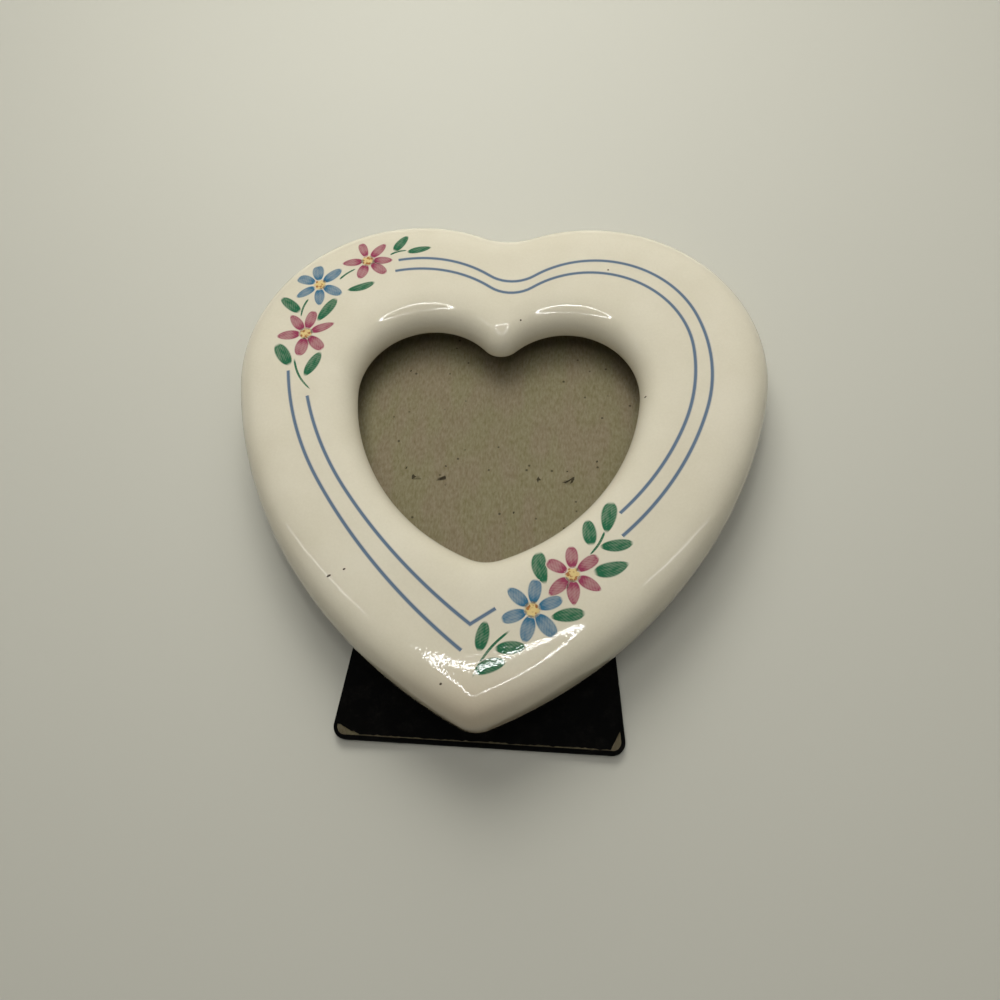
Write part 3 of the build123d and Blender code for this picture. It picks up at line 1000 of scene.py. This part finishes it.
# Dark dots and pale scratches: middle, length, width and direction in degrees.
board_dots = [
    ((-23.0, 2.6), 0.55, 0.35, 60),
    ((-13.0, 2.0), 0.4, 0.3, 20),
    ((-25.7, -10.9), 0.4, 0.3, 80),
    ((-8.3, -5.8), 0.35, 0.3, 0),
    ((24.1, -21.3), 0.6, 0.4, 70),
    ((-11.6, -23.9), 0.5, 0.35, -15),
    ((-12.8, -26.3), 0.4, 0.3, 0),
    ((-21.0, -24.7), 0.8, 0.3, 65),
    ((17.2, -24.2), 0.4, 0.3, -20),
    ((5.2, -35.2), 0.6, 0.4, 70),
]
board_scratches = [
    ((-23.6, 5.8), 5.0, 0.3, 22),
    ((-17.2, 7.1), 8.0, 0.3, 6),
    ((-15.2, 10.1), 1.9, 0.3, 2),
    ((-21.2, 9.3), 0.8, 0.3, 20),
    ((16.6, -28.3), 1.0, 0.25, -35),
    ((17.8, -28.6), 1.2, 0.25, -55),
    ((15.8, -27.4), 1.1, 0.25, -50),
    ((-7.8, -23.7), 1.3, 0.25, -65),
]


class BackingBoard(bpy.types.Operator):
    """Finish the chipboard, the torn places over the staples and the paper on the back."""

    bl_idname = "photo_frame.board"
    bl_label = "Backing board"

    def execute(self, context):
        settings = context.scene.frame_card
        paper = shared("embossed_black_paper", paper_material, settings)
        node_finish("backing_board", chipboard_material(settings))
        node_finish("backing_cover", paper)
        node_finish("board_glue", glue_material())
        # Nearly black chipboard: the board's real dark dots, and painted shade in the openings over the
        # staples.
        dark_bits_and_hole_shade = chipboard_material(settings, "chipboard_dark_bits_and_hole_shade", 0.12)
        fresh = chipboard_material(settings, "torn_chipboard_fibres")
        self.tear(dark_bits_and_hole_shade, fresh)
        self.mark("board_dots", board_dots, dark_bits_and_hole_shade)
        self.mark("board_scratches", board_scratches, fresh)
        return {"FINISHED"}

    def tear(self, dark_bits_and_hole_shade, fresh):
        bm = bmesh.new()
        # Each opening is a flat, nearly black patch on the board: painted shade of the hole.
        for outline in openings:
            corners = [bm.verts.new((*corner, board_front + opening_lift)) for corner in outline]
            bmesh.ops.contextual_create(bm, geom=corners)
        bmesh.ops.triangulate(bm, faces=bm.faces[:])
        self.face_front(bm)
        finished(bm, "board_openings", frame_place, dark_bits_and_hole_shade, "frame")
        bm = bmesh.new()
        base = board_front + flap_lift
        for left, right, tip, height in flaps:
            places = ((*left, base), (*right, base), (*tip, base + height))
            bmesh.ops.contextual_create(bm, geom=[bm.verts.new(place) for place in places])
        thickened(bm, flap_thickness)
        finished(bm, "board_flaps", frame_place, fresh, "frame")

    def mark(self, name, places, material):
        bm = bmesh.new()
        layers = marks(bm)
        for middle, length, width, degrees in places:
            half = Vector((cos(radians(degrees)), sin(radians(degrees)))) * length / 2
            blade(bm, layers, Vector(middle) - half, Vector(middle) + half, width, 0.4, 0.5)
        bmesh.ops.translate(bm, verts=bm.verts[:], vec=(0, 0, board_front + mark_lift))
        self.face_front(bm)
        finished(bm, name, frame_place, material, "frame")

    def face_front(self, bm):
        for face in bm.faces:
            face.normal_update()
        bmesh.ops.reverse_faces(bm, faces=[face for face in bm.faces if face.normal.z < 0])


# The strut is drawn about the hinge pin, with its back on the table. Paper 0.25 mm thick covers
# its back and is folded over its edges, which turn over from fold_height up.
strut_back = -hinge_axis.z / mm
strut_foot = (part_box("strut_cover")[0].y - hinge_axis.y) / mm
strut_head = -1.7
strut_flare = radians(7)
strut_foot_half_width = 31.7
strut_side = strut_foot_half_width * cos(strut_flare) + strut_foot * sin(strut_flare)
paper_thickness = 0.25
lining_thickness = 0.2
fold_height = -0.9


def strut_half_ring(bm, inset, height):
    """The right half of the strut's outline, with round corners, as an open chain."""
    before = set(bm.edges)
    head_radius = max(1.5 - inset, 0.3)
    foot_radius = max(2.8 - inset, 0.5)
    top = strut_head - inset
    bottom = strut_foot + inset
    head_y = top - head_radius
    foot_y = bottom + foot_radius
    line = strut_side - inset
    head_x = (line - head_radius - head_y * sin(strut_flare)) / cos(strut_flare)
    foot_x = (line - foot_radius - foot_y * sin(strut_flare)) / cos(strut_flare)
    head = Arc(Vector((head_x, head_y)), head_radius, pi / 2, strut_flare - pi / 2)
    foot = Arc(Vector((foot_x, foot_y)), foot_radius, strut_flare, -pi / 2 - strut_flare)
    seed = bm.verts.new((0, top, height))
    geom = straight_on(bm, [seed], (head_x, top, height), 10)
    geom = spin_arcs(bm, geom, [head], height, [5])
    geom = straight_on(bm, geom, (*foot.point(0), height), 18)
    geom = spin_arcs(bm, geom, [foot], height, [8])
    straight_on(bm, geom, (0, bottom, height), 24)
    return new_edges(bm, before)


def straight_on(bm, geom, place, steps):
    """Extrudes a chain's last vertex to a place in equal steps."""
    last = vertices(geom)[0]
    stride = (Vector(place) - last.co) / steps
    for _ in range(steps):
        made = bmesh.ops.extrude_vert_indiv(bm, verts=[last])
        last = made["verts"][0]
        bmesh.ops.translate(bm, verts=[last], vec=stride)
    return [last]


class Strut(bpy.types.Operator):
    """Build the strut: chipboard, the black paper round it and the lining on its front."""

    bl_idname = "photo_frame.strut"
    bl_label = "Strut"

    def execute(self, context):
        settings = context.scene.frame_card
        # The strut's board is drawn darker, at half its colour.
        board = chipboard_material(settings, "darkened_chipboard", 0.5)
        paper = shared("embossed_black_paper", paper_material, settings)
        quarter = [pi / 2 * step / 6 for step in range(7)]
        # Each outline is an inset and a height, from the back up and over the edge.
        inner_back = (paper_thickness, strut_back + paper_thickness)
        rings = [inner_back]
        for turn in quarter:
            rings.append((paper_thickness + 0.75 * (1 - cos(turn)), fold_height + 0.85 * sin(turn)))
        rings.append((1.2, 0))
        piece = self.bridge("strut_chipboard", rings, board, "grey_chipboard")
        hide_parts("strut_board")

        rings = [inner_back]
        for turn in quarter:
            rings.append((paper_thickness + 0.72 * (1 - cos(turn)), fold_height + 0.86 * sin(turn)))
        for turn in reversed(quarter):
            rings.append((0.9 * (1 - cos(turn)), fold_height + 0.97 * sin(turn)))
        rings += [(0, strut_back + 0.3), (0.1, strut_back + 0.08), (0.3, strut_back)]
        piece = self.bridge("strut_paper_cover", rings, paper, "black_textured_paper")
        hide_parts("strut_cover")
        self.lining(paper)
        return {"FINISHED"}

    def bridge(self, name, rings, material, slot):
        """Bridges outlines, each an inset and a height, and closes both ends."""
        bm = bmesh.new()
        bridged(bm, [strut_half_ring(bm, inset, height) for inset, height in rings])
        both_halves(bm)
        bmesh.ops.holes_fill(bm, edges=[edge for edge in bm.edges if edge.is_boundary])
        bmesh.ops.recalc_face_normals(bm, faces=bm.faces[:])
        return finished(bm, name, strut_place, material, "strut")

    def lining(self, paper):
        """The lining stops short of the foot, and its corners there are cut off by hand, unevenly."""
        bm = bmesh.new()
        top = strut_head - 0.3
        bottom = strut_foot + 1.2
        line = strut_side - 0.3

        def side_x(y):
            return (line - y * sin(strut_flare)) / cos(strut_flare)

        left = bottom + 2.2
        right = bottom + 5.0
        corners = [
            (side_x(top), top, 10),
            (side_x(right), right, 30),
            (28.2, bottom, 16),
            (-25.2, bottom, 70),
            (-side_x(left), left, 18),
            (-side_x(top), top, 30),
            (0, top, 10),
        ]
        geom = [bm.verts.new((0, top, 0))]
        for x, y, steps in corners:
            geom = straight_on(bm, geom, (x, y, 0), steps)
        bmesh.ops.remove_doubles(bm, verts=bm.verts[:], dist=seam)
        for vert in bm.verts:
            near_foot = max(0.0, min(1.0, (right + 1 - vert.co.y) / 2))
            rough = noise.noise(Vector((vert.co.x * 1.1, vert.co.y * 0.9, 3))) * 0.3
            rough += noise.noise(Vector((vert.co.x * 0.16, 7, 1))) * 0.15
            vert.co.y += rough * near_foot
        bmesh.ops.contextual_create(bm, geom=bm.edges[:])
        thickened(bm, lining_thickness)
        piece = finished(bm, "strut_front_lining", strut_place, paper, "strut")
        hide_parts("strut_lining")


class HingeAndStaples(bpy.types.Operator):
    """Finish the hinge's two leaves, its pin and the staples."""

    bl_idname = "photo_frame.hinge"
    bl_label = "Hinge and staples"

    def execute(self, context):
        # Drawing lines run 5 mm along the leaves and 2.5 mm along the wire, and are 0.3 mm apart.
        rolled = (every(5), every(0.25), every(0.25))
        plated = metal_material("nickel_plated_steel", colour("#A8A296"), 0.32, rolled)
        drawn = (every(1 / 3), every(1 / 3), every(2.5))
        zinc = metal_material("zinc_dipped_steel_wire", colour("#A9A9A6"), 0.45, drawn)
        for name in ("hinge_back_leaf", "hinge_strut_leaf", "hinge_pin"):
            node_finish(name, plated)
        for name in ("board_staples", "strut_staples"):
            node_finish(name, zinc)
        return {"FINISHED"}


class Stage(bpy.types.Operator):
    """Lay the floor and set the lamps and the camera."""

    bl_idname = "photo_frame.stage"
    bl_label = "Floor, lamps and camera"

    def execute(self, context):
        settings = context.scene.frame_stage
        self.lay_floor(settings)
        self.set_sky(context, settings)
        self.hang_softboxes(context, settings)
        self.hang_ring(settings)
        self.set_camera(context)
        context.scene.view_settings.view_transform = "Standard"
        return {"FINISHED"}

    def lay_floor(self, settings):
        bm = bmesh.new()
        bmesh.ops.create_circle(bm, cap_ends=True, segments=96, radius=2.5)
        material, tree, place = new_material("matt_painted_board")
        # Grain of 1.4 mm, and clouds 170 mm across.
        grain = add(tree, "TexNoise", {"Vector": place, "Scale": every(1.429), "Detail": 3})
        cloud = add(tree, "TexNoise", {"Vector": place, "Scale": every(167), "Detail": 2})
        shade = opaque(darker(settings.floor, 0.05))
        blend = add(tree, "Mix", {0: cloud, 6: opaque(settings.floor), 7: shade}, **coloured)
        bump = add(tree, "Bump", {"Height": grain, "Strength": 0.2, "Distance": 0.05 * mm})
        paint = add(tree, "BsdfPrincipled", {"Base Color": blend, "Roughness": 0.6, "Normal": bump})
        # Far off, the camera sees it pale, as paper that curves up into a backdrop.
        far = add(tree, "VectorMath", (place,), operation="LENGTH")
        pale = add(tree, "MapRange", (far, 0.2, 0.5), **smooth)
        seen = add(tree, "LightPath").outputs["Is Camera Ray"]
        share = add(tree, "Math", (pale, seen), operation="MULTIPLY")
        backdrop = add(tree, "Emission", {"Color": opaque(colour("#D6D5CC")), "Strength": 0.95})
        add(tree, "OutputMaterial", (add(tree, "MixShader", (share, paint, backdrop)),))
        self.staged(bm, "floor", material)

    def staged(self, bm, name, material):
        """Turns a bmesh into a floor or lamp, which is no piece of the frame."""
        mesh = bpy.data.meshes.new(name)
        bm.to_mesh(mesh)
        bm.free()
        mesh.materials.append(material)
        thing = bpy.data.objects.new(name, mesh)
        bpy.context.scene.collection.objects.link(thing)
        return thing

    def set_sky(self, context, settings):
        world = bpy.data.worlds.new("soft_room")
        world.use_nodes = True
        world.node_tree.nodes.clear()
        tree = world.node_tree
        # The room is brighter on the side that the picture is seen from, as near a window.
        way = add(tree, "SeparateXYZ", (add(tree, "TexCoord").outputs["Generated"],)).outputs["Y"]
        level = add(tree, "MapRange", (way, -1, 0.2, settings.sky, settings.sky * 0.2))
        seen = add(tree, "LightPath").outputs["Is Camera Ray"]
        shown = add(tree, "Math", (seen, 0.55, level), operation="MULTIPLY_ADD")
        background = add(tree, "Background", {"Color": opaque(colour("#FFFFFF")), "Strength": shown})
        add(tree, "OutputWorld", (background,))
        context.scene.world = world

    def hang_softboxes(self, context, settings):
        """A soft lamp close above the heart, a larger one farther back and one on the right."""
        for name, size, place, share in (
            ("near_softbox", 0.2, (-0.045, 0.22, 0.3), 1),
            ("far_softbox", 0.6, (-0.06, 0.7, 0.5), 2.8),
            ("right_softbox", 0.5, (0.25, 0.35, 0.5), 0.55),
        ):
            lamp = bpy.data.lights.new(name, "AREA")
            lamp.shape = "SQUARE"
            lamp.size = size
            lamp.energy = settings.softbox * share
            softbox = bpy.data.objects.new(name, lamp)
            softbox.location = place
            softbox.visible_glossy = False
            softbox.rotation_euler = (-softbox.location).to_track_quat("-Z", "Y").to_euler()
            context.scene.collection.objects.link(softbox)

    def hang_ring(self, settings):
        """A ceiling lamp: a thin bright ring between two faint rails, which the glaze mirrors."""
        height = 1.5
        spread = radians(15.4)
        inner_share = 0.915
        bm = bmesh.new()
        bmesh.ops.create_circle(bm, segments=96, radius=height * tan(spread))
        ring = bmesh.ops.extrude_edge_only(bm, edges=bm.edges[:])
        bmesh.ops.scale(bm, verts=vertices(ring["geom"]), vec=(inner_share, inner_share, 1))
        self.hang(bm, "ring_lamp", (-0.03, -0.08, height), settings.ring)
        bm = bmesh.new()
        for side in (-1, 1):
            made = bmesh.ops.create_grid(bm, x_segments=1, y_segments=1, size=1)
            bmesh.ops.scale(bm, verts=made["verts"], vec=(0.85, 0.02, 1))
            bmesh.ops.translate(bm, verts=made["verts"], vec=(side * 1.6, 0, 0))
        self.hang(bm, "lamp_rails", (0, 0.06, height), settings.ring * 0.24)

    def hang(self, bm, name, place, strength):
        bm.transform(Matrix.Translation(place))
        material, tree, where = new_material(name + "_tube")
        # The near side of the ring is dimmer, as where something stands before it.
        level = add(tree, "MapRange", (height_up(tree, where), -0.44, -0.36, strength * 0.4, strength))
        glow = add(tree, "Emission", {"Color": opaque(colour("#FFFFFF")), "Strength": level})
        add(tree, "OutputMaterial", (glow,))
        self.staged(bm, name, material).visible_camera = False

    def set_camera(self, context):
        lens = bpy.data.cameras.new("camera")
        lens.sensor_fit = "HORIZONTAL"
        lens.sensor_width = 36
        lens.lens = 27.04
        lens.clip_start = 0.005
        camera = bpy.data.objects.new("camera", lens)
        camera.location = (0.01445, -0.07076, 0.16904)
        camera.rotation_euler = (radians(20.726), radians(3.103), radians(3.524))
        context.scene.collection.objects.link(camera)
        context.scene.camera = camera


class PhotoFramePanel(bpy.types.Panel):
    """Lists the pieces of the photo frame and their settings."""

    bl_idname = "VIEW3D_PT_photo_frame"
    bl_label = "Photo Frame"
    bl_space_type = "VIEW_3D"
    bl_region_type = "UI"
    bl_category = "Photo Frame"

    def draw(self, context):
        layout = self.layout
        for operator in operators:
            layout.operator(operator.bl_idname)
        for name, kind in settings_groups:
            box = layout.box()
            for prop in kind.__annotations__:
                box.prop(getattr(context.scene, name), prop)


settings_groups = [
    ("frame_glaze", GlazeSettings),
    ("frame_print", PrintSettings),
    ("frame_card", CardSettings),
    ("frame_stage", StageSettings),
]
operators = [
    CeramicHeart,
    PinStripes,
    Flowers,
    LeavesAndStems,
    GlazeSpecks,
    BackingBoard,
    Strut,
    HingeAndStaples,
    Stage,
]


def register():
    for name, kind in settings_groups:
        bpy.utils.register_class(kind)
        setattr(bpy.types.Scene, name, PointerProperty(type=kind))
    for kind in operators + [PhotoFramePanel]:
        bpy.utils.register_class(kind)


def unregister():
    for kind in reversed(operators + [PhotoFramePanel]):
        bpy.utils.unregister_class(kind)
    for name, kind in reversed(settings_groups):
        delattr(bpy.types.Scene, name)
        bpy.utils.unregister_class(kind)


def main():
    register()
    for operator in operators:
        group, name = operator.bl_idname.split(".")
        getattr(getattr(bpy.ops, group), name)()


if __name__ == "__main__":
    main()
